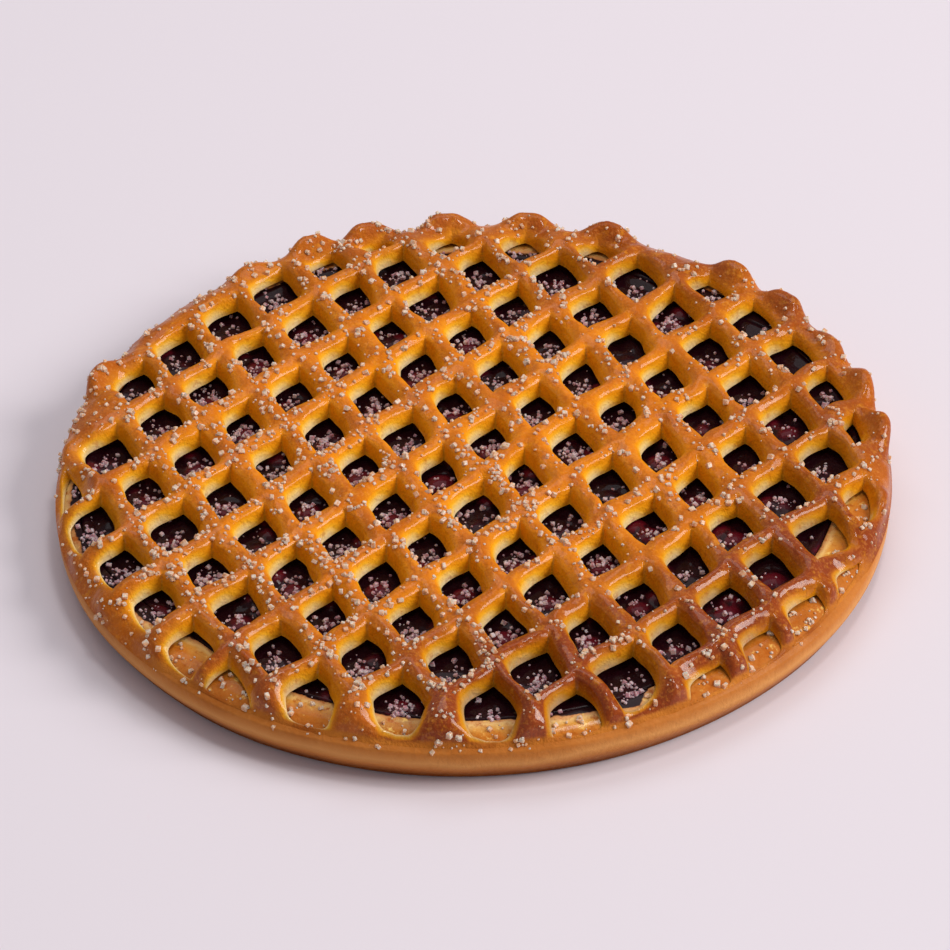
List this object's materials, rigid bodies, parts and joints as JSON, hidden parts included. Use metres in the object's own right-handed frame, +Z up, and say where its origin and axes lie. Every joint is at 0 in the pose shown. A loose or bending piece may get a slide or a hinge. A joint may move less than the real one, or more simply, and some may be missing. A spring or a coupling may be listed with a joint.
{
  "type": "round lattice-top cherry pie",
  "caption": "Whole round cherry pie with a shallow dough base, dark cherry filling and a slit lattice lid strewn with coarse sugar.",
  "frame": {"origin": "centre of the flat underside, where the pie rests on the table", "axes": "+Z up through the lid; +X to the right and +Y to the back as seen from the side that faced the camera"},
  "size_m": [0.2801, 0.2774, 0.028],
  "materials": {
    "side_crust": "matt baked yeast dough, tan, browner towards the table",
    "cherry_filling": "wet dark cherry jelly with cherries and a little coarse sugar",
    "glazed_crust": "egg-glazed baked dough, golden to brown, strewn with coarse white sugar"
  },
  "bodies": {
    "root": {"base_crust": "side_crust", "cherry_filling": "cherry_filling", "lattice_lid": "glazed_crust"}
  },
  "joints": []
}
